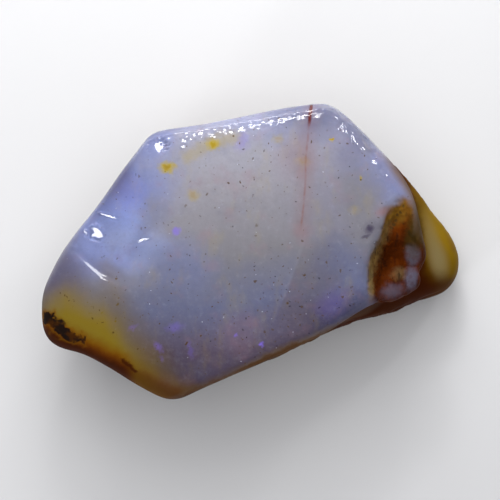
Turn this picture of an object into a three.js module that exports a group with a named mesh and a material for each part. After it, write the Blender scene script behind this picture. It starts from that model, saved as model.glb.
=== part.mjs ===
// A rough opal: one water-worn stone that lies on its rubbed back, with its main face up.
// A thick slab of milky opal carries the main face. A shelf of amber potch, which is common opal
// with no play of colour, spreads from under the slab to the right and along the lower edge.
// A hollow is broken out of the slab's right end and holds small botryoidal lumps.
//
// Millimetres, +Z up. X runs along the stone's length and Y across it.
// The origin is the middle of the bounding box, on the surface that the stone rests on.

import * as THREE from "three";
import { mergeVertices } from "three/addons/utils/BufferGeometryUtils.js";

// ---------------------------------------------------------------- driving dimensions

const FACE_HEIGHT = 12.0; // top of the main face above the rest face
const FACE_CROWN = 0.35; // how far the main face drops towards its ends
const HALF_LENGTH = 15.0;
const HALF_WIDTH = 10.8;

// Corners of the slab's outline, seen from above: [x, y, bend]. A bend is the length of edge that
// each corner's round takes from both of its sides.
const SLAB_CORNERS = [
  [-15.35, -3.2, 1.3],
  [-13.5, 0.1, 1.6],
  [-7.2, 8.6, 0.8],
  [5.9, 10.8, 1.1],
  [8.55, 8.5, 1.4],
  [11.85, 4.6, 1.8],
  [12.8, -0.3, 1.0],
  [12.15, -1.6, 0.7],
  [11.75, -3.2, 0.9],
  [8.8, -3.85, 0.9],
  [5.4, -6.1, 1.4],
  [-5.75, -11.15, 1.2],
  [-8.0, -9.9, 1.2],
  [-12.2, -7.65, 0.9],
  [-15.35, -7.1, 2.0],
];
const SLAB_WAIST = 8.0; // height of the slab's widest line
const SLAB_TAPER = 0.26; // how fast its sides draw in below that line
const SLAB_EDGE = 1.5; // reach of the round between face and sides

// Corners of the potch shelf's outline. The inner ones are hidden inside the slab.
const SHELF_CORNERS = [
  [3.7, 7.6, 1.0],
  [9.3, 7.5, 1.0],
  [13.25, 4.45, 1.5],
  [16.2, 1.6, 1.6],
  [16.75, -2.2, 1.4],
  [15.1, -4.05, 1.2],
  [7.1, -5.5, 1.8],
  [1.1, -8.5, 1.3],
  [-4.0, -8.8, 1.5],
  [-3.0, 0.0, 1.0],
];
const SHELF_WAIST = 4.0; // height of its widest line
const SHELF_HEIGHT = 6.9; // top of the shelf where it leaves the slab
const HEEL_SLOPE = 0.28; // how fast that top falls towards the heel
const SHELF_EDGE = 1.8; // reach of the round along its lower edge
const HEEL_EDGE = 4.6; // reach of the round on the heel at its right end
const HEEL_FROM = 8.5; // x where the shelf starts to turn into the heel
const HEEL_TO = 14.0; // x where the heel's round is full
const SHELF_JOIN = 1.4; // fillet between slab and shelf

// Flats that wear has left on the slab: a point on each, the outward normal and the edge's softness.
const FLATS = [
  { name: "left slope", at: [-8.6, 3.0, 11.8], normal: [-0.33, 0.1, 0.94], soft: 1.2 },
  { name: "lower left slope", at: [-9.7, -6.6, 11.2], normal: [-0.31, -0.4, 0.86], soft: 1.6 },
  { name: "top bevel", at: [-1.0, 9.3, 11.5], normal: [-0.14, 0.72, 0.68], soft: 0.9 },
  { name: "right bevel", at: [8.2, 7.8, 11.5], normal: [0.5, 0.46, 0.73], soft: 1.0 },
  { name: "left undercut", at: [-14.3, -3.6, 4.2], normal: [-0.84, 0.12, -0.52], soft: 1.4 },
  { name: "back undercut", at: [-1.2, 9.6, 3.8], normal: [-0.12, 0.8, -0.58], soft: 1.6 },
  { name: "front undercut", at: [-9.8, -8.6, 4.2], normal: [-0.42, -0.7, -0.56], soft: 1.5 },
];

// The shallow shell-shaped dish worn into the left slope: centre, radii, turn about Z, softness.
const DISH = { at: [-11.0, 0.5, 13.6], radii: [5.2, 3.2, 3.1], turn: -0.45, soft: 0.8 };

// The hollow broken out of the slab's right end: a shallow upper scoop and a deep lower one that
// runs out through the slab's side.
const HOLLOW = [
  { at: [10.65, 1.5, 12.1], radii: [1.0, 2.1, 1.7], turn: -0.25, soft: 0.6 },
  { at: [10.7, -1.5, 12.2], radii: [2.15, 2.9, 3.1], turn: -0.16, soft: 0.8 },
];

// Botryoidal lumps on the hollow's floor: [x, y, z, radius].
const LUMPS = [
  [11.9, -0.3, 9.3, 0.8],
  [11.3, -2.2, 9.15, 0.9],
  [10.2, -3.0, 8.9, 0.8],
];
const LUMP_FILLET = 0.6;

const REST_EDGE = 2.2; // reach of the round between the rest face and the sides

// Slow waves over the sides, as water wear leaves them: height, wavelength and phase.
const SIDE_WAVES = [
  { height: 0.07, along: [0.5, 0.35, 0.6], phase: 0.4 },
  { height: 0.05, along: [-0.45, 0.8, 0.9], phase: 2.1 },
];
const WAVES_RISE = [0.3, 2.5]; // heights over which the waves come in above the rest face
const WAVES_FALL = [FACE_HEIGHT - 3, FACE_HEIGHT - 0.6]; // and fade out below the main face

// Mesh: a divided icosahedron that is wrapped onto the stone.
const DIVISIONS = 21;
const WRAP_ROUNDS = 80;
const GATHER = 9.0; // how strongly the mesh gathers where the surface bends
const GATHER_CAP = 0.3; // the most bend that counts
const GATHER_AT = { at: [10.9, -1.2, 9.8], reach: 3.2, strength: 7.0 }; // and around the hollow
const WRAP_CENTRE = [0.3, -0.3, 5.6]; // where the rays start that place the mesh at first
const WRAP_MOVE = 0.3; // longest move back onto the stone in one round
const SETTLE_ROUNDS = 4;
const SETTLE_MOVE = 0.4; // longest move in one of those last rounds
const LEAST_SLOPE = 0.25; // the field's slope squared counts as at least this
const HALVINGS = 30; // of a ray, to find the surface on it
const CORNER_POINTS = 6; // points on each corner of an outline
const SAME_POINT = 1e-5; // points nearer than this are one
const LIES_FLAT = 0.01; // lower points than this lie on the rest face

// ---------------------------------------------------------------- small maths

const clamp01 = (t) => Math.min(Math.max(t, 0), 1);
const step01 = (from, to, t) => {
  const s = clamp01((t - from) / (to - from));
  return s * s * (3 - 2 * s);
};

// The larger or smaller of two distances, with a round of the given reach where they meet.
const smoothMax = (a, b, reach) => {
  const h = Math.max(reach - Math.abs(a - b), 0) / reach;
  return Math.max(a, b) + (h * h * reach) / 4;
};
const smoothMin = (a, b, reach) => -smoothMax(-a, -b, reach);

// A closed outline through rounded corners, as points.
function outlineOf(corners) {
  const points = corners.map(([x, y]) => new THREE.Vector2(x, y));
  const path = new THREE.Path();
  corners.forEach(([, , bend], i) => {
    const corner = points[i];
    const before = points[(i + points.length - 1) % points.length];
    const after = points[(i + 1) % points.length];
    const towards = (other) => corner.clone().add(other.clone().sub(corner).setLength(bend));
    const [start, end] = [towards(before), towards(after)];
    if (i === 0) path.moveTo(start.x, start.y);
    else path.lineTo(start.x, start.y);
    path.quadraticCurveTo(corner.x, corner.y, end.x, end.y);
  });
  path.closePath();
  return path.getPoints(CORNER_POINTS);
}

// Signed distance from a point to an outline, negative inside.
function distanceToOutline(outline, x, y) {
  let nearest = Infinity;
  let inside = false;
  for (let i = 0, j = outline.length - 1; i < outline.length; j = i++) {
    const [a, b] = [outline[i], outline[j]];
    const [ex, ey, px, py] = [b.x - a.x, b.y - a.y, x - a.x, y - a.y];
    const along = clamp01((px * ex + py * ey) / (ex * ex + ey * ey || 1));
    nearest = Math.min(nearest, Math.hypot(px - ex * along, py - ey * along));
    if (a.y > y !== b.y > y && x < ((b.x - a.x) * (y - a.y)) / (b.y - a.y) + a.x) inside = !inside;
  }
  return inside ? -nearest : nearest;
}

// Near enough the distance to an ellipsoid that is turned about Z.
function distanceToEllipsoid({ at, radii, turn }, x, y, z) {
  const [dx, dy, dz] = [x - at[0], y - at[1], z - at[2]];
  const [c, s] = [Math.cos(turn), Math.sin(turn)];
  const q = [c * dx + s * dy, -s * dx + c * dy, dz];
  const unit = Math.hypot(...q.map((v, i) => v / radii[i]));
  const slope = Math.hypot(...q.map((v, i) => v / radii[i] ** 2));
  return (unit * (unit - 1)) / (slope || 1);
}

// ---------------------------------------------------------------- the stone as a field

const slabOutline = outlineOf(SLAB_CORNERS);
const shelfOutline = outlineOf(SHELF_CORNERS);

function slab(x, y, z) {
  const side = distanceToOutline(slabOutline, x, y) + SLAB_TAPER * Math.max(SLAB_WAIST - z, 0);
  const crown = FACE_CROWN * ((x / HALF_LENGTH) ** 2 + (y / HALF_WIDTH) ** 2);
  let d = smoothMax(side, z - FACE_HEIGHT + crown, SLAB_EDGE);
  for (const { at, normal, soft } of FLATS) {
    const plane = normal[0] * (x - at[0]) + normal[1] * (y - at[1]) + normal[2] * (z - at[2]);
    d = smoothMax(d, plane / Math.hypot(...normal), soft);
  }
  return smoothMax(d, -distanceToEllipsoid(DISH, x, y, z), DISH.soft);
}

function shelf(x, y, z) {
  const edge = SHELF_EDGE + (HEEL_EDGE - SHELF_EDGE) * step01(HEEL_FROM, HEEL_TO, x);
  const side = distanceToOutline(shelfOutline, x, y) + SLAB_TAPER * Math.max(SHELF_WAIST - z, 0);
  const top = SHELF_HEIGHT - HEEL_SLOPE * Math.max(x - HEEL_FROM, 0);
  return smoothMax(side, z - top, edge);
}

function hollowed(d, x, y, z) {
  for (const scoop of HOLLOW) d = smoothMax(d, -distanceToEllipsoid(scoop, x, y, z), scoop.soft);
  for (const [lx, ly, lz, radius] of LUMPS)
    d = smoothMin(d, Math.hypot(x - lx, y - ly, z - lz) - radius, LUMP_FILLET);
  return d;
}

function sideWaves(x, y, z) {
  const onSides = step01(...WAVES_RISE, z) * (1 - step01(...WAVES_FALL, z));
  let height = 0;
  for (const { height: h, along, phase } of SIDE_WAVES)
    height += h * Math.sin(along[0] * x + along[1] * y + along[2] * z + phase);
  return height * onSides;
}

function stone(x, y, z) {
  const body = smoothMin(slab(x, y, z), shelf(x, y, z), SHELF_JOIN);
  const worn = hollowed(body, x, y, z) + sideWaves(x, y, z);
  return smoothMax(worn, -z, REST_EDGE);
}

// ---------------------------------------------------------------- wrapping a mesh onto the field

const GRADIENT_STEP = 0.02;

function gradient(p) {
  const h = GRADIENT_STEP;
  return new THREE.Vector3(
    stone(p.x + h, p.y, p.z) - stone(p.x - h, p.y, p.z),
    stone(p.x, p.y + h, p.z) - stone(p.x, p.y - h, p.z),
    stone(p.x, p.y, p.z + h) - stone(p.x, p.y, p.z - h),
  ).divideScalar(2 * h);
}

// Moves a point onto the surface along the field's slope.
function settle(p, rounds) {
  for (let i = 0; i < rounds; i++) {
    const slope = gradient(p);
    const move = stone(p.x, p.y, p.z) / Math.max(slope.lengthSq(), LEAST_SLOPE);
    p.addScaledVector(slope, -THREE.MathUtils.clamp(move, -SETTLE_MOVE, SETTLE_MOVE));
  }
}

// The stone's surface on the ray that leaves a centre in one direction.
function alongRay(centre, direction) {
  let [near, far] = [0, 2 * HALF_LENGTH];
  for (let i = 0; i < HALVINGS; i++) {
    const mid = (near + far) / 2;
    const p = direction.clone().multiplyScalar(mid).add(centre);
    if (stone(p.x, p.y, p.z) < 0) near = mid;
    else far = mid;
  }
  return direction.clone().multiplyScalar(near).add(centre);
}

function neighboursOf(geometry) {
  const found = Array.from({ length: geometry.getAttribute("position").count }, () => new Set());
  const index = geometry.index.array;
  for (let i = 0; i < index.length; i += 3)
    for (let k = 0; k < 3; k++) {
      found[index[i + k]].add(index[i + ((k + 1) % 3)]);
      found[index[i + k]].add(index[i + ((k + 2) % 3)]);
    }
  return found.map((set) => [...set]);
}

const vectorsOf = (attribute) =>
  Array.from({ length: attribute.count }, (_, i) => new THREE.Vector3().fromBufferAttribute(attribute, i));

const gatherAt = new THREE.Vector3(...GATHER_AT.at);

// One round of the wrap: each point moves half-way to the mean of its neighbours, drawn towards
// those where the surface bends most, and then back onto the stone.
function relax(geometry, neighbours) {
  geometry.computeVertexNormals();
  const position = geometry.getAttribute("position");
  const points = vectorsOf(position);
  const normals = vectorsOf(geometry.getAttribute("normal"));
  const bends = normals.map((n, i) => {
    const least = Math.min(...neighbours[i].map((j) => n.dot(normals[j])));
    const near = points[i].distanceTo(gatherAt) / GATHER_AT.reach;
    return (1 + GATHER * Math.min(1 - least, GATHER_CAP)) * (1 + GATHER_AT.strength * Math.exp(-near * near));
  });
  points.forEach((p, i) => {
    const mean = new THREE.Vector3();
    let total = 0;
    for (const j of neighbours[i]) {
      const weight = bends[i] + bends[j];
      mean.addScaledVector(points[j], weight);
      total += weight;
    }
    const moved = p.clone().lerp(mean.divideScalar(total), 0.5);
    const off = THREE.MathUtils.clamp(stone(moved.x, moved.y, moved.z), -WRAP_MOVE, WRAP_MOVE);
    moved.addScaledVector(normals[i], -off);
    position.setXYZ(i, moved.x, moved.y, moved.z);
  });
}

function wrapped() {
  const ball = new THREE.IcosahedronGeometry(1, DIVISIONS);
  ball.deleteAttribute("normal");
  ball.deleteAttribute("uv");
  const geometry = mergeVertices(ball, SAME_POINT);
  const position = geometry.getAttribute("position");
  const centre = new THREE.Vector3(...WRAP_CENTRE);
  const spread = new THREE.Vector3(HALF_LENGTH, HALF_WIDTH, FACE_HEIGHT / 2);
  vectorsOf(position).forEach((direction, i) => {
    const p = alongRay(centre, direction.multiply(spread).normalize());
    position.setXYZ(i, p.x, p.y, p.z);
  });
  const neighbours = neighboursOf(geometry);
  for (let round = 0; round < WRAP_ROUNDS; round++) relax(geometry, neighbours);
  vectorsOf(position).forEach((p, i) => {
    settle(p, SETTLE_ROUNDS);
    position.setXYZ(i, p.x, p.y, p.z < LIES_FLAT ? 0 : p.z);
  });
  geometry.computeBoundingBox();
  const middle = geometry.boundingBox.getCenter(new THREE.Vector3());
  return geometry.translate(-middle.x, -middle.y, 0);
}

// ---------------------------------------------------------------- the part

const opal = new THREE.Mesh(
  wrapped(),
  new THREE.MeshStandardMaterial({ color: 0x9d9cb6, roughness: 0.28, metalness: 0 }),
);
opal.name = "opal";

const part = new THREE.Group();
part.add(opal);

export default part;
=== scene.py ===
"""A rough opal: a water-worn slab of milky opal on a shelf of amber potch, lying on its back.

The stone is one piece. Its mesh is a fine copy of the solid, with the wear, chips and lumps that
are too small for the solid, and its colours are one node tree that reads Object coordinates.
Places in this file are [x, y, z] or [x, y] in millimetres, in the frame of the solid: +X runs
along the stone towards its amber heel, +Y across it, and +Z up through the main face. A spot is
an ellipse seen from above: its centre, its half sizes and its turn.
"""

import math
from types import SimpleNamespace

import bmesh
import bpy
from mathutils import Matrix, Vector, noise


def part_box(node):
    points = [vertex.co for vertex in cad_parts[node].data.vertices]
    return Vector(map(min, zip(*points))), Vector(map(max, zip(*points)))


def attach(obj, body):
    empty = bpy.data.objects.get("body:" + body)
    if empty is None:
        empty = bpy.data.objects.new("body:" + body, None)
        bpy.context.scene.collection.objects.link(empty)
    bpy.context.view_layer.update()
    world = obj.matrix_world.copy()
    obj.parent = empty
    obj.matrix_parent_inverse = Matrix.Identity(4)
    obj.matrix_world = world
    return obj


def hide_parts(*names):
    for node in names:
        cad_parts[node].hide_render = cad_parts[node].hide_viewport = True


bl_info = {
    "name": "Rough opal",
    "version": (1, 0, 0),
    "blender": (4, 5, 0),
    "location": "View3D > Sidebar > Opal",
    "description": "Makes a rough opal with its wear, stains and play of colour",
    "category": "Add Mesh",
}

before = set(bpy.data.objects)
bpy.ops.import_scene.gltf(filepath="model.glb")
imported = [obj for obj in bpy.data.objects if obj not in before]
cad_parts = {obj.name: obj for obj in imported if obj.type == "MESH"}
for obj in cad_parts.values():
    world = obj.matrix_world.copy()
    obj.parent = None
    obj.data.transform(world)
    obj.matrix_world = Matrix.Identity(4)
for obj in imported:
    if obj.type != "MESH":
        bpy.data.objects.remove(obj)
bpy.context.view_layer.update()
NODE = "opal"
_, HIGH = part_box(NODE)

MM = 0.001
TOP = HIGH.z / MM  # height of the main face

# ---------------------------------------------------------------- places on the stone

VIEW_MIDDLE = (-0.24, 0.125)  # where the camera looks

# The hollow's ragged rim on the main face, from its top end to its lower end.
HOLLOW_RIM = (
    *((10.6, 3.5), (9.75, 2.1), (9.25, 1.3), (8.85, 0.0)),
    *((8.45, -1.2), (8.35, -2.3), (8.7, -3.4)),
)

# The hollow's shallow, rounded upper end.
HOLLOW_TOP = ((10.6, 2.6), (1.3, 1.5), -0.25)

# The spots that the hollow's two scoops take.
SCOOPS = (((10.4, 1.6), (1.15, 2.25), -0.25), ((10.45, -1.4), (2.3, 3.05), -0.16))

# Botryoidal lumps in the hollow: centre and radius. A lump shows down to a share of its radius
# under its middle, and the broken grain keeps off it between the two fringes.
LUMPS = (((11.6, -0.22, 9.35), 0.8), ((11.3, -2.05, 9.2), 0.9), ((9.95, -2.88, 8.9), 0.8))
LUMP_UNDERSIDE = -0.6
LUMP_FRINGES = (0.35, 0.05)

# A worn groove on the left slope, whose flank catches the light: points, half widths at its two
# ends, and its depth as a share of its half width.
GROOVE_POINTS = (
    *((-13.05, 0.35), (-12.6, -0.1), (-11.67, -0.92)),
    *((-10.9, -1.57), (-10.13, -1.93), (-9.6, -2.1)),
)
GROOVE_WIDTHS = (0.32, 0.2)
GROOVE_STEEPNESS = 0.29
GROOVE_FADE = 0.5  # over how many millimetres each end fades out

# The small lights that the stone's gloss mirrors: place, target, size, power.
LEFT, CORNER = (-85, -78, 73), (-14, 115, 101)
GLINTS = {
    "left": (LEFT, (-10, 1, 11), (18, 18), 0.03),
    "corner": (CORNER, (-7, 8, 11), (18, 18), 0.03),
    "top": ((-17, 106, 33), (-1, 9, 11), (56, 12), 0.056),
    "groove": ((6, 83, 70), (-11, -1, 11), (36, 20), 0.034),
    "right": ((68, 77, 49), (6, 8, 11), (12, 12), 0.016),
}

# The soft lights, which the gloss doesn't mirror: place, target, size, power.
SOFT_LIGHTS = {
    "overhead": ((-15, 60, 250), (0, 0, 0), (300, 300), 0.485),
    "fill": ((30, -210, 90), (0, 0, 4), (200, 120), 0.09),
    "key": ((-4, 40, 72), (0, 3, 6), (50, 30), 0.014),
}

# Small worn facets, each turned towards a light: the facet's spot, the light's place, and how deep
# it is cut. A facet of no depth is raised on one side and cut on the other.
FACETS = (
    ((-6.95, 7.55), (0.6, 0.5), 0.3, CORNER, 0.09),
    ((-5.08, 7.6), (0.18, 0.15), 0.4, CORNER, 0.0),
    ((-4.86, 8.0), (0.16, 0.13), 0.4, CORNER, 0.0),
    ((-10.55, 2.6), (0.62, 0.15), -0.35, LEFT, 0.0),
    ((-11.35, 1.4), (0.4, 0.52), 0.2, LEFT, 0.0),
    ((-12.16, 1.36), (0.12, 0.24), 0.4, LEFT, 0.0),
    ((-8.8, 0.58), (0.12, 0.07), 0.3, LEFT, 0.0),
    ((-7.85, 0.85), (0.5, 0.12), 0.35, LEFT, 0.0),
)
FACET_RISE = 0.12  # the most that a facet of no depth is raised

# Where the mesh is finer: the top edge, the right bevel, the facets and the left dish, each above
# its own height, and the hollow.
TOP_EDGE = ((-7.6, 8.2), (5.4, 10.7))
TOP_EDGE_REACH = 1.1
RIGHT_EDGE = ((6.2, 9.9), (8.3, 8.2), (10.2, 5.9))
RIGHT_EDGE_REACH = 0.9
DISH_AT, DISH_REACH = (-10.6, 0.9), (3.2, 3.6)
FACET_REACH = 0.45
FINE_ABOVE, DISH_ABOVE, EDGE_ABOVE = 8.3, 9.8, 10.4

# How the solid's mesh is made fine: cuts in each edge, and rounds of smoothing.
MERGE_WITHIN = 0.001
CUTS, FINE_CUTS = 3, 1
SMOOTH_ALL, SMOOTH_FINE, SMOOTH_HOLLOW_TOP = 6, 3, 24
HOLLOW_TOP_ABOVE = 10.0

# Noise in the wear: layers of (scale, amount), or a scale and a shift.
BEAD_LAYERS = ((1.3, 0.5), (2.6, 1.0), (4.6, 0.6))
FACET_LAYERS = ((3.0, 0.4), (8.0, 0.4))
RIPPLE_NOISE = (0.42, (3.0, 1.0, 0.0))
PIT_NOISE = (0.95, (0.0, 9.0, 4.0))
SCRATCH_NOISE = (2.7, (0.0, 0.0, 0.0))
LUMPY_NOISE = (0.42, (5.0, 2.0, 1.0))
GRAIN_NOISE = (1.5, (0.0, 0.0, 0.0))
CHIP_SCALE, CHIP_LAYER, CHIP_REACH = 2.6, 7.0, 0.55
STRATA_SCALES = (0.18, 0.18, 1.6)
LACUNARITY = 2.1

# Where the heel is worn back.
HEEL_SHOULDER = ((14.7, 2.1), (1.4, 2.5), 0.55)

# The healed crack across the main face, and the dimmer milk on the right of its tail.
CRACK = (
    *((4.22, 10.6), (4.08, 9.7), (3.86, 7.65), (3.75, 6.0)),
    *((3.68, 4.35), (3.54, 2.6), (3.43, 1.6)),
)
CRACK_TAIL = ((3.43, 1.6), (3.36, 0.25), (3.07, -1.0), (2.57, -2.3), (1.85, -3.7), (1.42, -4.95))
TAIL_SIDE = ((2.57, -2.3), (0.94, -0.35))  # a point on the tail, and the way to its right
TAIL_SHADE = ((3.9, -3.0), (1.9, 3.0), -0.3)

# The honey zone at the lower left: a point on its lower border and the way in from there, the x
# values past which it narrows, its dendrite, its dark streak, its dots and the shade at the tip.
HONEY_SIDE = ((-13.6, -7.0), (0.43, 0.9))
HONEY_FROM, HONEY_TO = -13.6, -10.8
DENDRITE = ((-14.9, -4.75), (-14.45, -5.25), (-14.0, -5.6), (-13.35, -6.0), (-12.2, -6.45))
DENDRITE_KNOT = ((-14.2, -5.25), (0.5, 0.4), 0.0)
HONEY_STREAK = ((-9.45, -7.85), (-8.5, -8.75))
HONEY_DOTS = (
    *((-14.05, -3.0), (-13.7, -3.12), (-13.5, -3.25), (-13.3, -3.5), (-13.05, -3.6)),
    *((-11.55, -4.1), (-11.1, -4.15), (-11.65, -4.8), (-11.25, -5.2), (-10.95, -5.1)),
    *((-10.2, -5.8), (-8.3, -7.1)),
)
TIP_SHADE = ((-6.6, -9.3), (3.2, 1.5), 0.2)

# The dark line where the slab meets the heel, and the dark grains at the hollow's upper end.
SLAB_LINE = (
    *((10.2, 6.3), (10.9, 5.25), (11.55, 4.35), (11.9, 3.4), (12.1, 2.1)),
    *((12.4, 0.6), (12.4, -0.4), (12.2, -1.4), (12.1, -2.4)),
)
HOLLOW_DOTS = ((10.7, 2.85), (10.5, 2.6), (10.3, 2.2), (9.95, 1.7), (10.85, 3.35), (10.15, 2.0))

# The heel: its clear part, its cloudy cores with their amounts, its brown rim, and the brown foot
# and the glow in it, each as a point and a way.
HEEL_CLEAR = ((14.6, 1.4), (2.2, 4.2), 0.3)
HEEL_CORES = (((13.45, 0.3), (0.5, 2.1), 0.25, 0.6), ((13.85, -0.7), (0.6, 1.2), 0.2, 0.7))
HEEL_RIM = ((12.2, 5.6), (13.6, 4.1), (14.6, 2.4), (15.3, 0.4))
HEEL_FOOT = ((13.0, -2.0), (0.1, 1.0))
FOOT_GLOW = ((15.0, -2.6), (0.6, -0.8))

# The front side, past the lower edge of the main face, and the golden band along that edge.
FRONT_SIDE = ((0.0, -8.75), (0.42, -0.91))
LOWER_EDGE = ((-5.0, -10.4), (-1.7, -8.98), (0.1, -8.28), (1.3, -7.68), (3.4, -6.8), (5.6, -5.8))
LOWER_EDGE_SWELL = ((1.6, -7.5), (2.6, 1.5), 0.43)

# Where the skin is worn dull: the side away from the light, and the nose.
DULL_SIDE = ((0.0, -2.6), (0.1, -1.0))
DULL_NOSE = ((-14.4, -4.0), (1.7, 1.9), 0.0)
TOP_EDGE_WAY = (-2.5, 13.0)  # the way out over the top edge, past which the stone has no coat

# The milk's colours across the stone, from its lower side to its upper one. The ramp is partly the
# milk's own tint and partly painted light and shade: lighter along the upper edge, darker towards
# the lower tip.
MILK_WIDTH = 19.2
MILK_STOPS = (
    *((0.0, "tip"), (0.14, "dusk"), (0.32, "blue"), (0.5, "warm")),
    *((0.74, "milk"), (0.87, "cloud"), (0.97, "pale")),
)

# How streaky noise is squeezed along each axis, and the dark veins' turn.
MILK_STREAKS, STRATA = (1.0, 0.45, 1.0), (0.25, 0.25, 1.5)
VEINS = ((3.0, 0.7, 1.0), 0.4)

# Soft patches: spot, colour's name, amount.
MILK_PATCHES = (
    ((-9.6, 3.2), (4.6, 2.6), 0.93, "slope", 0.95),
    # Painted light in the next four rows: the left dish's paler blue, partly its own colour, is
    # laid brighter on its slope that faces away from the lights, and the pale glint patch is
    # painted light only.
    ((-10.4, 1.1), (2.2, 1.7), 0.3, "dish_blue_painted_light", 1.0),
    ((-8.3, 0.2), (1.8, 1.2), 0.2, "dish_blue_painted_light", 0.5),
    ((-9.6, 1.2), (1.3, 0.9), 0.2, "glint", 0.25),
    ((-11.2, -1.0), (1.6, 1.2), 0.0, "dish_blue_painted_light", 0.15),
    ((-5.4, -0.8), (2.2, 1.8), 0.0, "slope", 0.4),
    ((-13.9, -1.9), (1.8, 1.7), 0.3, "dusk", 0.45),
    ((5.0, 9.6), (3.0, 1.6), 0.0, "haze", 0.6),
    ((4.2, 10.3), (3.0, 0.9), 0.0, "blue", 0.7),
    ((7.9, 8.5), (1.5, 0.9), -0.7, "blue", 0.8),
    ((7.7, 3.0), (1.3, 3.2), 0.1, "warm", 0.75),
    ((-7.3, 2.8), (1.2, 1.0), 0.3, "warm", 0.45),
    ((-3.0, 8.3), (2.0, 1.1), 0.1, "milk", 0.5),
    ((-5.2, 6.9), (1.2, 1.0), 0.0, "milk", 0.5),
    ((-9.6, 5.5), (1.1, 0.9), 0.9, "deep", 0.3),
    ((3.1, 6.9), (1.0, 1.4), 0.0, "tan", 0.12),
    ((7.2, 7.4), (1.6, 1.4), 0.0, "haze", 0.7),
    ((6.6, 4.6), (3.6, 5.2), 0.3, "haze", 0.45),
    ((-7.2, 7.6), (1.6, 1.2), 0.0, "slope", 0.6),
    ((-9.0, 4.2), (1.3, 1.0), 0.8, "violet", 0.10),
    ((-9.7, 5.4), (1.4, 1.0), 0.9, "blue", 0.65),
    ((9.3, 5.5), (1.6, 3.4), 0.75, "slope", 0.7),
    ((7.0, -1.3), (2.3, 2.2), 0.2, "blue", 0.75),
    ((7.4, -1.6), (1.3, 1.7), 0.0, "slope", 0.3),
    ((3.6, -4.4), (2.4, 1.4), 0.4, "dusk", 0.3),
    ((5.9, -4.6), (2.1, 1.2), 0.4, "deep", 0.8),
    ((5.7, -3.8), (1.0, 0.8), 0.3, "violet", 0.14),
    ((-6.5, -2.5), (3.0, 2.2), 0.2, "blue", 0.4),
    ((-1.2, -5.8), (1.4, 1.5), 0.0, "rose", 0.16),
    ((3.0, 7.0), (1.6, 1.4), 0.0, "rose", 0.2),
    ((-5.4, -10.7), (1.7, 0.8), 0.25, "speck", 0.8),
)
FLECKS = (
    ((-5.57, 1.46), (0.26, 0.24), 0.4, "violet", 0.6),
    ((-5.64, -5.45), (0.55, 0.28), 0.2, "violet", 0.25),
    ((-8.75, -5.45), (0.32, 0.16), 0.5, "violet", 0.45),
    ((-6.85, -6.9), (0.18, 0.38), 0.6, "violet", 0.5),
    ((-6.6, -7.7), (0.14, 0.2), 0.6, "violet", 0.3),
    ((-4.55, -7.1), (0.2, 0.5), 0.2, "violet", 0.2),
    ((0.6, -6.65), (0.12, 0.12), 0.0, "violet", 0.8),
    ((-1.3, -5.95), (0.12, 0.12), 0.0, "violet", 0.5),
    ((-0.8, 7.9), (0.4, 0.6), -0.4, "violet", 0.26),
    ((-3.0, -1.0), (0.5, 0.4), 0.0, "rose", 0.2),
)
STAINS = (  # centre, half sizes, amount
    ((-2.9, 7.72), (0.42, 0.36), 0.9),
    ((-6.2, 6.1), (0.55, 0.36), 0.9),
    ((-4.35, 4.1), (0.42, 0.4), 0.35),
    ((1.75, 8.15), (0.35, 0.3), 0.3),
    ((5.68, 8.08), (0.16, 0.14), 1.0),
    ((3.6, 6.5), (0.5, 0.3), 0.22),
    ((7.75, 5.3), (0.14, 0.14), 0.7),
    ((7.3, 3.0), (0.35, 0.3), 0.2),
)
STAIN_TRAIL = ((-4.7, 6.85), (-3.0, 7.9), (-1.4, 8.25))
HEART_SIZE, HEART_AMOUNT = 0.45, 0.55  # a stain's dark heart, as shares of the stain
LUMP_COLOURS = (((11.6, -0.27), (0.5, 0.75), 0.15), ((11.5, -1.95), (0.45, 0.9), -0.1))
BARE_LUMP = ((10.0, -3.0), (1.0, 0.6), 0.2)  # the dark veins keep off this one too
HOLLOW_PATCHES = (
    ((9.4, 1.3), (0.42, 1.5), -0.5, "khaki", 0.9),
    ((8.7, -0.5), (0.42, 1.5), -0.25, "khaki", 0.95),
    ((8.45, -2.4), (0.35, 1.1), 0.0, "khaki", 0.8),
    ((10.55, 2.1), (0.5, 1.0), -0.3, "flame", 0.9),
    ((11.5, 1.2), (0.35, 0.9), -0.2, "olive", 0.9),
    ((10.1, -2.9), (0.8, 0.5), 0.2, "lump", 0.6),
    ((8.95, -2.5), (0.3, 0.9), 0.0, "rust", 0.8),
    ((10.6, -1.6), (0.5, 0.4), 0.2, "cream", 0.3),
    ((9.7, -1.7), (0.6, 0.8), 0.2, "flame", 0.35),
    ((10.4, -0.9), (0.7, 0.3), 0.3, "flame", 0.4),
    ((12.2, -1.35), (0.6, 0.45), 0.0, "flame", 0.9),
)
RIM_PATCHES = (
    ((10.2, 2.7), (0.7, 0.35), 0.7, "gold", 0.75),
    ((10.6, 2.75), (0.4, 0.7), -0.3, "gold", 0.8),
    ((9.75, 3.0), (0.5, 0.35), 0.5, "gold", 0.5),
    ((10.75, 3.4), (0.35, 0.45), 0.0, "gold", 0.6),
    # Painted light: this pale patch brightens the shaded slope at the hollow's upper end.
    ((10.1, 3.7), (0.5, 0.35), 0.3, "pale", 0.6),
    ((8.5, -2.0), (0.16, 1.3), 0.0, "cream", 0.45),
    ((9.4, 2.85), (0.5, 0.3), 0.3, "rose", 0.45),
    ((11.85, 1.6), (0.6, 1.7), -0.13, "olive", 0.9),
    ((12.4, -0.9), (0.35, 0.9), 0.0, "rust", 0.8),
    ((8.42, 1.6), (0.34, 0.28), 0.4, "bruise", 0.9),
    ((8.5, 1.7), (0.65, 0.5), 0.4, "bruise", 0.3),
    ((8.15, 1.15), (0.3, 0.12), 0.3, "bruise", 0.7),
)
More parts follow.
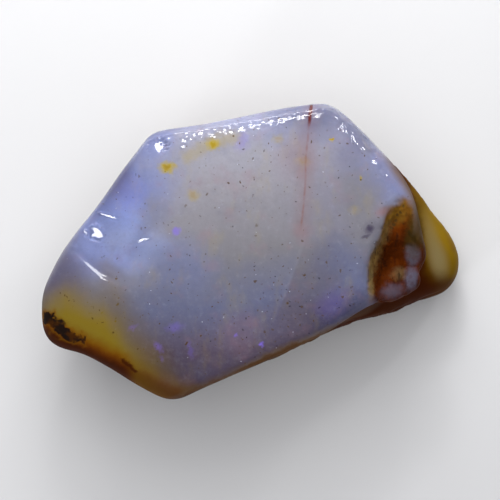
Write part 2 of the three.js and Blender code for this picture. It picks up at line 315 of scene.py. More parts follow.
SPECKS = (  # cells in a millimetre, radius, share of cells that hold one, colour's name, amount
    (1.0, 0.056, 0.27, "speck", 0.9),
    (1.7, 0.04, 0.26, "speck", 0.7),
    (0.6, 0.082, 0.17, "speck", 0.95),
    (1.3, 0.05, 0.08, "dark", 0.8),
    # Painted highlights: pale specks that stand in for tiny sparkles.
    (0.8, 0.035, 0.16, "glint", 0.7),
)
SPECK_CROWD = ((0.5, -4.8), (5.0, 2.6), 0.3)
CROWDING = 0.35  # how much larger the share of cells with a speck is there

# What is the same all over the stone's surface.
FINISH = {
    "Coat Roughness": 0.06,
    "Coat IOR": 1.42,
    "IOR": 1.42,
    "Specular IOR Level": 0.04,
    "Subsurface Weight": 0.35,
    "Subsurface Radius": (1.0, 0.7, 0.6),
    "Subsurface Scale": 1.2 * MM,
}

# ---------------------------------------------------------------- sizes and colours


def maker(kind, **settings):
    """Makes properties of one kind, each from its name, its description and its default."""
    return lambda name, description, default: kind(
        name=name, description=description, default=default, **settings
    )


length = maker(bpy.props.FloatProperty, unit="LENGTH", subtype="DISTANCE", precision=5)
colour = maker(bpy.props.FloatVectorProperty, subtype="COLOR", size=3, min=0, max=1)
number = maker(bpy.props.FloatProperty, min=0, max=1)


class OpalShape(bpy.types.PropertyGroup):
    """Sizes of the wear that is finer than the solid."""

    ripple: length("Ripple", "Height of the slow waves that water wear leaves", 0.045 * MM)
    crisp: length("Crisp edge", "How much the worn edge of the main face stands proud", 0.3 * MM)
    bead: length("Edge beads", "Height of the small bumps along the worn edges", 0.03 * MM)
    relief: length("Side relief", "Depth of the weathered relief of the lower sides", 0.3 * MM)
    pit: length("Pits", "Depth of the pits in the stone's natural skin", 0.09 * MM)
    shoulder: length("Heel's shoulder", "How far the heel's upper shoulder is worn back", 0.33 * MM)
    chip: length("Chips", "Depth of the chips along the hollow's rim", 0.08 * MM)
    grain: length("Broken grain", "Height of the broken grain inside the hollow", 0.1 * MM)


class OpalColours(bpy.types.PropertyGroup):
    """Colours of the stone, in linear light."""

    # Pale, cloud, milk, warm, blue, dusk and tip make the milk's ramp; its brightness from the
    # upper edge down to the tip is partly painted light and shade.
    pale: colour("Pale milk", "Bright milk along the upper edge", (0.25, 0.265, 0.39))
    haze: colour("Haze", "Dimmer milk at the upper right", (0.165, 0.16, 0.235))
    cloud: colour("Cloud", "Brightest grey milk, below the upper edge", (0.30, 0.295, 0.345))
    milk: colour("Milk", "Milky grey of the upper part", (0.262, 0.252, 0.285))
    warm: colour("Warm milk", "Warmer grey of the middle", (0.178, 0.172, 0.193))
    blue: colour("Blue milk", "Bluish milk below the middle", (0.112, 0.12, 0.20))
    dusk: colour("Dusk", "Dim purplish milk towards the tip", (0.084, 0.063, 0.098))
    tip: colour("Tip", "Dim milk at the lower tip", (0.078, 0.06, 0.105))
    # Deep milk also paints the shade along the left rim.
    deep: colour("Deep milk", "Deep purplish blue towards the shelf", (0.06, 0.056, 0.12))
    slope: colour("Slope", "Lavender blue of the left slope", (0.155, 0.192, 0.41))
    # Painted light in part: this paler blue brightens the left dish's slope that faces away from
    # the lights.
    dish_blue_painted_light: colour("Sky", "Paler blue of the left dish", (0.34, 0.42, 0.78))
    violet: colour("Violet", "Flecks of play of colour", (0.20, 0.13, 0.62))
    rose: colour("Rose", "Pinkish patches", (0.27, 0.15, 0.18))
    yellow: colour("Yellow stain", "Iron stain on the main face", (0.36, 0.27, 0.01))
    ochre: colour("Ochre", "Dark heart of a stain", (0.22, 0.11, 0.003))
    honey: colour("Honey", "Yellow zone at the lower left", (0.205, 0.14, 0.009))
    orange: colour("Orange", "Orange inner border of the honey zone", (0.17, 0.065, 0.002))
    brown: colour("Brown", "Dark brown potch", (0.045, 0.008, 0.0005))
    amber: colour("Amber", "Clear amber potch", (0.21, 0.122, 0.002))
    cream: colour("Cream", "Cloudy core of the heel", (0.22, 0.17, 0.075))
    umber: colour("Umber", "Brown glow along the heel's lower edge", (0.09, 0.034, 0.005))
    gold: colour("Gold stain", "Iron stain above the hollow", (0.21, 0.105, 0.012))
    olive: colour("Olive", "Thin brown wall between the hollow and the heel", (0.052, 0.028, 0.005))
    rust: colour("Rust", "Rusty floor of the hollow", (0.06, 0.011, 0.001))
    flame: colour("Flame", "Brighter rust spots in the hollow", (0.13, 0.026, 0.002))
    khaki: colour("Khaki", "Yellow-brown wall of the hollow", (0.2, 0.115, 0.035))
    tan: colour("Tan", "Thin translucent edge of the slab", (0.13, 0.075, 0.03))
    host: colour("Host rock", "Pale brown remains of the host rock", (0.19, 0.125, 0.065))
    lump: colour("Lump", "Grey-blue lumps in the hollow", (0.088, 0.082, 0.118))
    salmon: colour("Salmon", "Faint glow beside the crack", (0.22, 0.11, 0.095))
    crack: colour("Crack", "Thin red-brown line of the healed crack", (0.20, 0.065, 0.04))
    gash: colour("Crack's end", "Dark red end of the crack at the edge", (0.09, 0.012, 0.01))
    tail: colour("Crack's tail", "Pale line that the crack runs into", (0.30, 0.28, 0.30))
    bruise: colour("Bruise", "Dark violet inclusion by the hollow", (0.045, 0.035, 0.068))
    # Painted highlights: pale sparkle in the milk's grain and specks, and one patch of painted
    # light on the left dish's shaded slope.
    glint: colour("Glint", "Tiny pale grains in the milk", (0.55, 0.58, 0.70))
    speck: colour("Speck", "Specks in the milk", (0.075, 0.042, 0.012))
    dark: colour("Dark", "Black dendrite and inclusions", (0.008, 0.005, 0.004))


class OpalStage(bpy.types.PropertyGroup):
    """The floor, the lights and the camera."""

    floor_size: length("Floor", "Side of the square floor", 3.0)
    floor_colour: colour("Floor colour", "Colour of the floor", (0.62, 0.62, 0.63))
    floor_roughness: number("Floor roughness", "Roughness of the floor", 0.85)
    sky_colour: colour("Sky colour", "Colour of the light from all round", (0.9, 0.92, 1.0))
    sky_strength: number("Sky strength", "Strength of the light from all round", 0.15)
    camera_height: length("Camera height", "Height of the camera above the main face", 200 * MM)
    camera_clip: length("Camera clip", "How near to the camera things start to show", 10 * MM)
    field: length("Field", "Width of the view at the main face", 36 * MM)


# ---------------------------------------------------------------- the stone's mesh


def step(low, high, value):
    """A smooth step from 0 to 1 as value goes from low to high, either way round."""
    t = min(max((value - low) / (high - low), 0.0), 1.0)
    return t * t * (3 - 2 * t)


def along(point, start, end):
    """(distance from a point to a segment, share of the way along it), seen from above."""
    dx, dy = end[0] - start[0], end[1] - start[1]
    px, py = point[0] - start[0], point[1] - start[1]
    share = min(max((px * dx + py * dy) / (dx * dx + dy * dy), 0.0), 1.0)
    return math.hypot(px - dx * share, py - dy * share), share


def within(p, at, radii, turn):
    """How far out a place lies in an ellipse seen from above, 1 on its edge."""
    c, s = math.cos(turn), math.sin(turn)
    dx, dy = p.x - at[0], p.y - at[1]
    return math.hypot((c * dx + s * dy) / radii[0], (c * dy - s * dx) / radii[1])


def nearest_span(p, points):
    """(distance, share of the way along) from a place to a path of segments."""
    spans = list(zip(points, points[1:]))
    found = [along(p, *span) for span in spans]
    nearest = min(range(len(spans)), key=lambda index: found[index][0])
    return found[nearest][0], (nearest + found[nearest][1]) / len(spans)


def waves(p, scale, shift):
    """Smooth noise at a place."""
    return noise.noise(p * scale + Vector(shift))


def layered(p, layers):
    """Smooth noise in layers of different scales."""
    return sum(amount * noise.noise(p * scale) for scale, amount in layers)


def crumbled(p, texture, fineness, octaves):
    """Broken noise, as on a rough surface."""
    scale, shift = texture
    place = p * scale + Vector(shift)
    return noise.fractal(place, fineness, LACUNARITY, octaves, noise_basis="PERLIN_ORIGINAL")


def in_hollow(p):
    """1 inside the region that the hollow takes, 0 well outside it."""
    return max(step(1.15, 0.85, within(p, *scoop)) for scoop in SCOOPS)


def groove_depth(p):
    """A worn groove on the left slope, which narrows along its length and fades at both ends."""
    distance, done = nearest_span(p, GROOVE_POINTS)
    width = GROOVE_WIDTHS[0] + (GROOVE_WIDTHS[1] - GROOVE_WIDTHS[0]) * done
    if distance > 3 * width:
        return 0.0
    ends = min(math.hypot(p.x - x, p.y - y) for x, y in (GROOVE_POINTS[0], GROOVE_POINTS[-1]))
    shape = math.exp(-((distance / width) ** 2))
    return GROOVE_STEEPNESS * width * shape * step(0.0, GROOVE_FADE, ends)


def facet_planes(verts):
    """Each facet's height at its middle and the slopes that turn it towards its light."""
    upper = [v for v in verts if v.normal.z > 0.3]
    planes = []
    for (x, y), _, _, light, depth in FACETS:
        nearest = min(upper, key=lambda v: (v.co.x / MM - x) ** 2 + (v.co.y / MM - y) ** 2)
        middle = nearest.co / MM
        wanted = (Vector(light) - middle).normalized() + Vector((0.0, 0.0, 1.0))
        planes.append((middle.z - depth, wanted.x / wanted.z, wanted.y / wanted.z))
    return planes


def on_facets(p):
    """How much each facet shows at a place, in the order of FACETS."""
    ragged = layered(p, FACET_LAYERS)
    return [step(1.5, 1.0, within(p, *facet[:3]) + ragged) for facet in FACETS]


def facet_height(p, normal, shares, planes):
    """What brings the surface to the facets' planes."""
    height = 0.0
    for share, (at, _, _, _, depth), (level, tilt_x, tilt_y) in zip(shares, FACETS, planes):
        if share > 0:
            gap = level - tilt_x * (p.x - at[0]) - tilt_y * (p.y - at[1]) - p.z
            gap /= normal.z + tilt_x * normal.x + tilt_y * normal.y
            height += share * min(gap, 0.0 if depth else FACET_RISE)
    return height


def chip_height(p, chip):
    """Chips along the hollow's rim."""
    distance = nearest_span(p, HOLLOW_RIM)[0]
    ragged = noise.noise(Vector((p.x * CHIP_SCALE, p.y * CHIP_SCALE, CHIP_LAYER)))
    near = step(CHIP_REACH, 0.0, distance)
    return -chip * near * step(-0.15, 0.45, ragged) * step(TOP - 1.6, TOP - 0.3, p.z)


def on_lump(p):
    """1 on the hollow's lumps, 0 away from them."""
    far, near = LUMP_FRINGES
    return max(
        step(radius + far, radius + near, (p - Vector(centre)).length) for centre, radius in LUMPS
    )


def side_relief(p, normal):
    """The weathered relief of the lower sides, away from the heel: how deep it is, from 0 up."""
    lumpy = crumbled(p, LUMPY_NOISE, 0.9, 5)
    layers = noise.noise(Vector([scale * place for scale, place in zip(STRATA_SCALES, p)]))
    deep = min(max(0.45 + 0.55 * lumpy + 0.3 * layers, 0.0), 1.2)
    return deep * step(0.7, 0.3, abs(normal.z)) * step(7.8, 6.2, p.z) * step(14.5, 11.5, p.x)


def on_top_edge(p):
    """1 along the top edge of the main face, 0 away from it."""
    distance = along(p, *TOP_EDGE)[0]
    return step(TOP_EDGE_REACH * 1.8, TOP_EDGE_REACH, distance) * step(9.5, 10.5, p.z)


def crisp_height(p, normal):
    """How far the worn top edge stands proud, from 0 where the surface is flat or upright."""
    lean = math.hypot(normal.x, normal.y)
    proud = 1 / max(normal.z, lean, 0.7) - 1
    return proud * on_top_edge(p) * step(-0.1, 0.2, normal.z)


def bead_height(p, normal):
    """Small bumps along the worn edges, most of them along the top and right edges."""
    edge = step(0.99, 0.93, normal.z) * step(0.15, 0.5, normal.z) * step(8.5, 10.0, p.z)
    right = step(RIGHT_EDGE_REACH * 1.4, RIGHT_EDGE_REACH, nearest_span(p, RIGHT_EDGE)[0])
    return edge * layered(p, BEAD_LAYERS) * max(on_top_edge(p), right, 0.08)


def pit_depth(p, normal):
    """Pits and scratches in the natural skin of the lower sides."""
    side = step(0.55, 0.1, normal.z) * step(5.5, 3.5, p.z)
    return side * (step(0.05, 0.5, waves(p, *PIT_NOISE)) + 0.35 * abs(waves(p, *SCRATCH_NOISE)))


def wear(p, normal, sizes, planes):
    """How far the surface at p stands off the solid. All of it is in millimetres."""
    hollow = in_hollow(p) * step(TOP - 0.35, TOP - 1.0, p.z) * step(7.6, 8.6, p.z)
    height = sizes.ripple * waves(p, *RIPPLE_NOISE)
    height -= sizes.relief * side_relief(p, normal)
    height += sizes.crisp * crisp_height(p, normal)
    height += sizes.bead * bead_height(p, normal) * (1 - hollow)
    height -= sizes.pit * pit_depth(p, normal)
    height += sizes.grain * hollow * crumbled(p, GRAIN_NOISE, 1.0, 4) * (1 - on_lump(p))
    if normal.z > 0.5 and p.z > 9.5:
        shares = on_facets(p)
        height *= 1 - min(sum(shares), 1.0)
        height += facet_height(p, normal, shares, planes)
    height -= groove_depth(p)
    heel = step(1.2, 0.2, within(p, *HEEL_SHOULDER)) * step(9.0, 7.5, p.z)
    height -= sizes.shoulder * heel
    height += chip_height(p, sizes.chip)
    return height * step(0.0, 0.5, p.z)


def push_out_lumps(bm):
    """Swells the hollow's floor into the round lumps."""
    for vert in bm.verts:
        for centre, radius in LUMPS:
            offset = vert.co / MM - Vector(centre)
            distance = offset.length
            if distance < radius and offset.z > LUMP_UNDERSIDE * radius:
                vert.co = (Vector(centre) + offset * (radius / distance)) * MM


def in_fine_zone(p):
    """Whether a place needs the finer mesh."""
    if p.z < FINE_ABOVE:
        return False
    if in_hollow(p) > 0:
        return True
    dx, dy = (place - at for place, at in zip(p, DISH_AT))
    if p.z > DISH_ABOVE and math.hypot(dx / DISH_REACH[0], dy / DISH_REACH[1]) < 1:
        return True
    return p.z > EDGE_ABOVE and (
        along(p, *TOP_EDGE)[0] < TOP_EDGE_REACH
        or nearest_span(p, RIGHT_EDGE)[0] < RIGHT_EDGE_REACH
        or any(math.hypot(p.x - x, p.y - y) < FACET_REACH for (x, y), *_ in FACETS)
    )


def smooth(bm, verts, rounds):
    axes = {"use_axis_x": True, "use_axis_y": True, "use_axis_z": True}
    for _ in range(rounds):
        bmesh.ops.smooth_vert(bm, verts=verts, factor=0.5, **axes)


def in_hollow_top(p):
    return p.z > HOLLOW_TOP_ABOVE and within(p, *HOLLOW_TOP) < 1


def stone_mesh(shape):
    """The stone as a fine mesh: the solid's own, divided, smoothed and worn."""
    bm = bmesh.new()
    bm.from_mesh(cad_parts[NODE].data)
    bmesh.ops.remove_doubles(bm, verts=bm.verts, dist=MERGE_WITHIN * MM)
    bmesh.ops.subdivide_edges(bm, edges=bm.edges, cuts=CUTS, use_grid_fill=True)
    smooth(bm, bm.verts, SMOOTH_ALL)
    fine = [face for face in bm.faces if in_fine_zone(face.calc_center_median() / MM)]
    edges = list({edge for face in fine for edge in face.edges})
    bmesh.ops.subdivide_edges(bm, edges=edges, cuts=FINE_CUTS, use_grid_fill=True)
    bmesh.ops.triangulate(bm, faces=bm.faces)
    push_out_lumps(bm)
    smooth(bm, [v for v in bm.verts if in_fine_zone(v.co / MM)], SMOOTH_FINE)
    smooth(bm, [v for v in bm.verts if in_hollow_top(v.co / MM)], SMOOTH_HOLLOW_TOP)
    bm.normal_update()
    planes = facet_planes(bm.verts)
    sizes = SimpleNamespace(**{name: getattr(shape, name) / MM for name in shape.__annotations__})
    moved = [v.co + v.normal * (wear(v.co / MM, v.normal, sizes, planes) * MM) for v in bm.verts]
    for vert, place in zip(bm.verts, moved):
        vert.co = (place.x, place.y, min(max(place.z, 0.0), HIGH.z))
    mesh = bpy.data.meshes.new("opal_stone")
    bm.to_mesh(mesh)
    bm.free()
    mesh.shade_smooth()
    return mesh


# ---------------------------------------------------------------- shader maths


class Value:
    """A number socket. Python arithmetic on it adds the Math nodes that work it out."""

    def __init__(self, tree, socket):
        self.tree = tree
        self.socket = socket

    def __add__(self, other):
        return self.tree.math("ADD", self, other)

    __radd__ = __add__

    def __sub__(self, other):
        return self.tree.math("SUBTRACT", self, other)

    def __rsub__(self, other):
        return self.tree.math("SUBTRACT", other, self)

    def __mul__(self, other):
        return self.tree.math("MULTIPLY", self, other)

    __rmul__ = __mul__

    def __truediv__(self, other):
        return self.tree.math("DIVIDE", self, other)

    def __rtruediv__(self, other):
        return self.tree.math("DIVIDE", other, self)

    def __abs__(self):
        return self.tree.math("ABSOLUTE", self)

    def least(self, other):
        return self.tree.math("MINIMUM", self, other)

    def most(self, other):
        return self.tree.math("MAXIMUM", self, other)

    def step(self, low, high):
        """A smooth step from 0 at low to 1 at high, either way round."""
        settings = {"interpolation_type": "SMOOTHSTEP"}
        rising = low < high
        inputs = {
            "Value": self,
            "From Min": min(low, high),
            "From Max": max(low, high),
            "To Min": 0.0 if rising else 1.0,
            "To Max": 1.0 if rising else 0.0,
        }
        return self.tree.value("ShaderNodeMapRange", settings, inputs, "Result")


class Tree:
    """Builds one material's nodes."""

    def __init__(self, name):
        self.material = bpy.data.materials.new(name)
        self.material.use_nodes = True
        self.nodes = self.material.node_tree.nodes
        self.links = self.material.node_tree.links
        self.shader = self.nodes["Principled BSDF"]

    def add(self, kind, settings=None, inputs=None):
        """A node of a type, with its settings made first and then its sockets filled or linked."""
        node = self.nodes.new(kind)
        for name, value in (settings or {}).items():
            if name == "stops":
                for element, (place, stop) in zip(self.elements(node, len(value)), value):
                    element.position = place
                    element.color = (*stop, 1.0)
            else:
                setattr(node, name, value)
        self.fill(node, inputs or {})
        return node

    @staticmethod
    def elements(node, count):
        found = node.color_ramp.elements
        while len(found) < count:
            found.new(1.0)
        return found

    def fill(self, node, inputs):
        for key, value in inputs.items():
            self.feed(node.inputs[key], value)

    def feed(self, socket, value):
        if isinstance(value, Value):
            value = value.socket
        if isinstance(value, bpy.types.NodeSocket):
            self.links.new(value, socket)
        elif socket.type == "RGBA":
            socket.default_value = (*value, 1.0)
        else:
            socket.default_value = value

    def value(self, kind, settings=None, inputs=None, output=0):
        return Value(self, self.add(kind, settings, inputs).outputs[output])

    def math(self, operation, *values):
        return self.value("ShaderNodeMath", {"operation": operation}, dict(enumerate(values)))

    def measure(self, operation, *vectors):
        """A Vector Math node's number: a length, a distance or a dot product."""
        settings = {"operation": operation}
        return self.value("ShaderNodeVectorMath", settings, dict(enumerate(vectors)), "Value")

    def vector(self, operation, *vectors, **inputs):
        """A Vector Math node's vector result."""
        sockets = dict(enumerate(vectors))
        sockets.update(inputs)
        return self.add("ShaderNodeVectorMath", {"operation": operation}, sockets).outputs["Vector"]

    def mix(self, base, over, amount):
        """One colour laid over another by an amount."""
        settings = {"data_type": "RGBA", "blend_type": "MIX", "clamp_factor": True}
        node = self.add("ShaderNodeMix", settings)
        sockets = {s.identifier: s for s in node.inputs}
        self.feed(sockets["Factor_Float"], amount)
        self.feed(sockets["A_Color"], base)
        self.feed(sockets["B_Color"], over)
        return next(s for s in node.outputs if s.identifier == "Result_Color")

    def noise(self, place, scale, detail=2.0, roughness=0.5, output=0):
        """Noise from 0 to 1, with about scale features in a millimetre."""
        inputs = {"Vector": place, "Scale": scale, "Detail": detail, "Roughness": roughness}
        return self.value("ShaderNodeTexNoise", None, inputs, output)

    def scaled(self, place, scale, turn=0.0):
        """A place squeezed or stretched along each axis, for streaky noise."""
        inputs = {"Vector": place, "Rotation": (0.0, 0.0, turn), "Scale": scale}
        return self.add("ShaderNodeMapping", None, inputs).outputs[0]

    def shifted(self, place, scale, reach, detail=2.0):
        """A place moved about by up to half of reach, for ragged edges."""
        wander = self.noise(place, scale, detail, output="Color")
        centred = self.vector("SUBTRACT", wander, (0.5, 0.5, 0.5))
        return self.vector("ADD", place, self.vector("SCALE", centred, Scale=reach))

    def spot(self, place, at, radii, turn=0.0, soft=0.5):
        """1 inside an ellipse seen from above, fading out over a share of its size.

        It is built from vector nodes, because Cycles holds only some 80 Mapping nodes in a shader.
        """
        if turn:
            settings = {"rotation_type": "Z_AXIS"}
            inputs = {"Vector": place, "Center": (*at, 0.0), "Angle": -turn}
            place = self.add("ShaderNodeVectorRotate", settings, inputs).outputs[0]
        shrink = (1 / radii[0], 1 / radii[1], 0.0)
        shift = (-at[0] / radii[0], -at[1] / radii[1], 0.0)
        local = self.vector("MULTIPLY_ADD", place, shrink, shift)
        return self.measure("LENGTH", local).step(1 + soft, 1 - soft)

    def across(self, place, at, direction):
        """How far a place lies past a point, in one direction seen from above."""
        size = math.hypot(*direction)
        unit = (direction[0] / size, direction[1] / size, 0.0)
        past = at[0] * unit[0] + at[1] * unit[1]
        return self.measure("DOT_PRODUCT", place, unit) - past

    def segment(self, place, start, end):
        """The distance to a segment seen from above. The place's own z must be 0."""
        ray = (end[0] - start[0], end[1] - start[1], 0.0)
        span = ray[0] ** 2 + ray[1] ** 2
        offset = self.vector("SUBTRACT", place, (*start, 0.0))
        share = (self.measure("DOT_PRODUCT", offset, ray) / span).least(1.0).most(0.0)
        nearest = self.vector("SCALE", ray, Scale=share)
        return self.measure("LENGTH", self.vector("SUBTRACT", offset, nearest))

    def path(self, place, points):
        """The distance to a path of segments seen from above."""
        return self.nearest([self.segment(place, a, b) for a, b in zip(points, points[1:])])

    def dots(self, place, points):
        """The distance to the nearest of some points seen from above."""
        return self.nearest([self.measure("DISTANCE", place, (*point, 0.0)) for point in points])

    @staticmethod
    def nearest(distances):
        nearest = distances[0]
        for distance in distances[1:]:
            nearest = nearest.least(distance)
        return nearest


# ---------------------------------------------------------------- the stone's colours


class Opal:
    """The stone's material, one zone at a time.

    A mask is a value from 0 to 1. step() makes one from a height, a distance or a noise. It is
    told where the mask starts and where it is full, in millimetres or as a level of the noise.
    """

    def __init__(self, colours):
        self.c = colours
        self.t = Tree("opal")
        coordinates = self.t.add("ShaderNodeTexCoord").outputs["Object"]
        self.p = self.t.vector("SCALE", coordinates, Scale=1 / MM)
        apart = self.t.add("ShaderNodeSeparateXYZ", None, {0: self.p}).outputs
        self.x, self.y, self.height = (Value(self.t, socket) for socket in apart)
        self.flat = self.t.vector("MULTIPLY", self.p, (1.0, 1.0, 0.0))
        self.soft = self.t.shifted(self.flat, 0.3, 2.2)
        self.ragged = self.t.shifted(self.flat, 1.6, 0.55, 3.0)
        self.torn = self.t.shifted(self.flat, 2.6, 0.7, 5.0)

    def below(self, start, full):
        """A mask of how far the surface lies under the main face."""
        return self.height.step(TOP - start, TOP - full)

    def layers(self, colour, *layers):
        """Lays colours over a colour in order: each one's name, or its socket, and an amount."""
        for over, amount in layers:
            over = getattr(self.c, over) if isinstance(over, str) else over
            colour = self.t.mix(colour, over, amount)
        return colour

    def patches(self, colour, place, table, soft=0.7):
        """Lays a table of soft patches over a colour. Patches of one colour share a layer."""
        masks = {}
        for at, radii, turn, name, amount in table:
            mask = self.t.spot(place, at, radii, turn, soft) * amount
            masks[name] = masks[name].most(mask) if name in masks else mask
        return self.layers(colour, *masks.items())

    def milk(self):
        """The milky body: bright along the upper edge, warm in the middle, dim and purple below.
        That ramp is partly painted light and shade; some patches paint light on the left dish's
        shaded slope, and the left rim gets painted shade.
        """
        t = self.t
        up = t.across(self.soft, (0.0, 0.0), (-0.1, 1.0))
        share = (up + MILK_WIDTH / 2) / MILK_WIDTH
        stops = [(place, getattr(self.c, name)) for place, name in MILK_STOPS]
        # The ramp is partly painted light and shade: lighter along the upper edge, darker towards
        # the tip.
        colour = t.add("ShaderNodeValToRGB", {"stops": stops}, {0: share}).outputs[0]
        streaks = t.noise(t.scaled(self.p, MILK_STREAKS), 0.8, 4.0, 0.6)
        grain = t.noise(self.p, 2.0, 5.0, 0.65)
        # Painted shade: the deep colour darkens the milk along the left rim, below the main face.
        rim = self.below(0.25, 1.6)
        left = up.step(-6.0, 0.0) * self.x.step(-3.0, -7.0)
        return self.layers(
            self.patches(colour, self.soft, MILK_PATCHES),
            ("yellow", streaks.step(0.5, 0.8) * 0.16),
            ("blue", t.noise(self.p, 0.45, 4.0, 0.6).step(0.52, 0.8) * 0.3),
            ("rose", t.noise(self.p, 0.7, 3.0).step(0.54, 0.8) * 0.25),
            # The pale grain is partly random tone and partly painted sparkle highlights.
            ("glint", grain.step(0.5, 0.9) * 0.12),
            ("dark", grain.step(0.5, 0.1) * 0.15),
            ("warm", t.noise(self.p, 5.0, 3.0, 0.6).step(0.45, 0.7) * 0.12),
            ("deep", rim * left * 0.5),
        )

    def flecks(self, colour):
        """Flecks of play of colour."""
        return self.patches(colour, self.torn, FLECKS, 0.8)

    def stains(self, colour):
        """Yellow iron stains on the main face, each with a darker heart."""
        rings = [(at, radii, 0.0, "yellow", amount) for at, radii, amount in STAINS]
        hearts = [
            (at, [HEART_SIZE * r for r in radii], 0.0, "ochre", HEART_AMOUNT * amount)
            for at, radii, amount in STAINS
        ]
        colour = self.patches(colour, self.torn, rings + hearts)
        trail = self.t.path(self.torn, STAIN_TRAIL).step(0.8, 0.1)
        return self.layers(colour, ("yellow", trail * 0.3))

    def crack(self, colour):
        """The healed crack: dark red at the edge, thin and red-brown below, then a faint pale line.

        The milk on the right of the pale line is dimmer.
        """
        t = self.t
        wavy = t.shifted(self.flat, 0.7, 0.2, 3.0)
        distance = t.path(wavy, CRACK)
        lively = t.noise(self.flat, 1.3, 3.0).step(0.3, 0.7)
        end = distance.step(0.18, 0.05) * self.y.step(8.9, 9.6)
        right = t.across(wavy, *TAIL_SIDE).step(-0.05, 0.12)
        shade = right * t.spot(self.soft, *TAIL_SHADE, 0.6)
        return self.layers(
            colour,
            ("salmon", distance.step(1.1, 0.0) * 0.24),
            ("crack", distance.step(0.12, 0.02) * (lively * 0.35 + 0.1)),
            ("gash", end * 0.95),
            ("speck", shade * 0.24),
            ("tail", t.path(wavy, CRACK_TAIL).step(0.22, 0.0) * 0.05),
        )

    def specks(self, colour):
        """Tiny brown specks, most of them in the lower middle, and a few pale ones that are painted
        sparkle highlights.
        """
        t = self.t
        crowd = t.spot(self.soft, *SPECK_CROWD, 0.8)
        top = self.height.step(10.0, 11.2)
        for scale, radius, share, name, amount in SPECKS:
            settings = {"feature": "F1", "voronoi_dimensions": "2D"}
            inputs = {"Vector": self.ragged, "Scale": scale}
            cells = t.add("ShaderNodeTexVoronoi", settings, inputs).outputs
            split = t.add("ShaderNodeSeparateColor", None, {0: cells["Color"]}).outputs
            lot, strength = Value(t, split[0]), Value(t, split[1])
            near = (Value(t, cells["Distance"]) / scale).step(radius * 1.5, radius * 0.5)
            chosen = (lot - crowd * CROWDING).step(share + 0.02, share)
            shown = near * chosen * top * (strength * 0.6 + 0.4)
            colour = self.layers(colour, (name, shown * amount))
        return colour

    def honey(self, colour):
        """The honey zone at the lower left, with its fringe, its borders and its dendrite."""
        t = self.t
        away = t.across(self.soft, *HONEY_SIDE)
        away = away + (self.x - HONEY_TO).most(0.0) + (HONEY_FROM - self.x).most(0.0)
        fringe = away.step(8.6, 4.6) * self.x.step(-11.8, -9.6)
        rim = t.across(self.ragged, *HONEY_SIDE)
        early = self.x.step(-8.4, -9.6)
        lace = t.shifted(self.flat, 1.5, 1.4, 6.0)
        distance = t.path(lace, DENDRITE) + (self.x + 14.0).most(0.0) * 0.16
        gaps = t.noise(self.flat, 1.4, 2.0).step(0.35, 0.52)
        veins = t.noise(self.flat, 2.4, 5.0, 0.65)
        knot = t.spot(lace, *DENDRITE_KNOT, 0.4)
        black = (distance - veins * 0.7).step(0.16, 0.0).most(knot)
        return self.layers(
            colour,
            ("speck", fringe * 0.36),
            ("honey", fringe * 0.33),
            ("honey", away.step(5.6, 2.4) * 0.97),
            ("dark", t.spot(self.soft, *TIP_SHADE, 0.8) * 0.2),
            ("orange", rim.step(2.0, 1.0) * (early * 0.75 + 0.25)),
            ("flame", rim.step(1.3, 0.6) * (early * 0.5 + 0.35)),
            ("brown", rim.step(1.2, 0.3) * (early * 0.6 + 0.4)),
            ("orange", distance.step(0.85, 0.4) * 0.8),
            ("brown", distance.step(0.55, 0.3) * 0.8),
            ("dark", black * (gaps * 0.6 + 0.35)),
            ("brown", t.segment(self.ragged, *HONEY_STREAK).step(0.24, 0.06) * 0.9),
            ("speck", t.dots(self.torn, HONEY_DOTS).step(0.11, 0.04) * 0.9),
        )

    def heel(self, amber):
        """The amber heel, its cloudy cores and its brown borders."""
        t = self.t
        cores = [
            ("cream", t.spot(self.flat, at, radii, turn, 0.8) * amount)
            for at, radii, turn, amount in HEEL_CORES
        ]
        rim = t.path(self.flat, HEEL_RIM).step(0.8, 0.0) * self.height.step(2.5, 4.5)
        foot = t.across(self.ragged, *HEEL_FOOT).step(0.8, -0.8)
        glow = t.across(self.soft, *FOOT_GLOW).step(-1.2, 0.2)
        return self.layers(
            amber,
            ("amber", t.spot(self.soft, *HEEL_CLEAR, 0.7) * 0.95),
            *cores,
            ("brown", t.path(self.ragged, SLAB_LINE).step(0.55, 0.1) * 0.8),
            ("umber", rim * 0.85),
            ("brown", foot * 0.9),
            ("umber", glow * foot * 0.7),
        )

    def potch(self, colour):
        """The amber potch of the shelf, the heel and the stone's lower sides.

        Remains of the host rock cling to the sides away from the heel.
        """
        t = self.t
        sides = self.x.step(11.5, 9.5) * self.height.step(6.6, 5.2)
        broad, fine = t.noise(self.p, 0.3, 3.0) - 0.5, t.noise(self.p, 1.7, 4.0, 0.6) - 0.5
        clouds = t.noise(self.p, 0.38, 5.0, 0.62)
        strata = t.noise(t.scaled(self.p, STRATA), 1.0, 5.0, 0.6).step(0.45, 0.7)
        seams = abs(broad).step(0.012, 0.002) * clouds.step(0.45, 0.6)
        amber = self.layers(
            self.c.brown,
            ("rust", t.noise(self.p, 0.9, 4.0, 0.6).step(0.42, 0.62) * 0.7),
            ("host", clouds.step(0.44, 0.68) * sides * 0.6),
            ("khaki", strata * sides * 0.3),
            ("cream", seams * sides * 0.35),
        )
        amber = self.heel(amber)
        level = self.height + broad * 3.2 + fine * 1.3
        # Painted shade in part: on the slab's right side the brown that deepens further below the
        # main face is partly the potch's own colour and partly painted shade.
        flank = self.x.step(8.6, 10.6) * self.y.step(-3.4, -2.6) * self.height.step(6.9, 7.6)
        colour = self.layers(
            colour,
            ("tan", level.step(8.9, 8.2) * level.step(7.5, 8.0) * 0.75),
            (amber, level.step(8.2, 7.3)),
            ("tan", flank * self.below(0.45, 1.3) * 0.8),
            ("brown", flank * self.below(1.1, 2.4) * 0.75),
        )
        return self.lower_edge(colour, self.layers(amber, ("umber", strata * 0.6)), fine)

